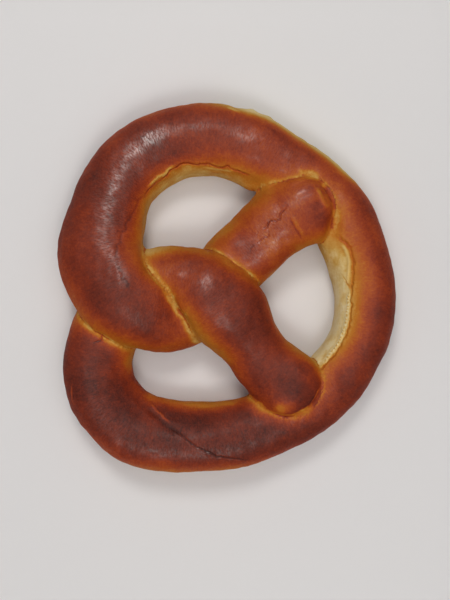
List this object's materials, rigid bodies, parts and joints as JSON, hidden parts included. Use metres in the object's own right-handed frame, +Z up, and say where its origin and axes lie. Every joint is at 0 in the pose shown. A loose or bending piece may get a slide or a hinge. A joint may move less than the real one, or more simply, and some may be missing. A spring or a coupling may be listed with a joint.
{
  "type": "soft pretzel",
  "caption": "Soft pretzel: one thick rope of dough looped and twisted over itself, with both ends resting on the loop, baked brown and glossy.",
  "frame": {"origin": "on the surface it lies on, under the middle of the pretzel's outline", "axes": "+Z up out of the top crust; seen from above with +Y up the page, the twist is on the left (-X), the rope's two ends lie on the loop at the right, and the larger lobe of the loop is at +Y"},
  "size_m": [0.1284, 0.1401, 0.0292],
  "materials": {
    "crust": "satin"
  },
  "bodies": {
    "root": {"pretzel": "crust"}
  },
  "joints": []
}
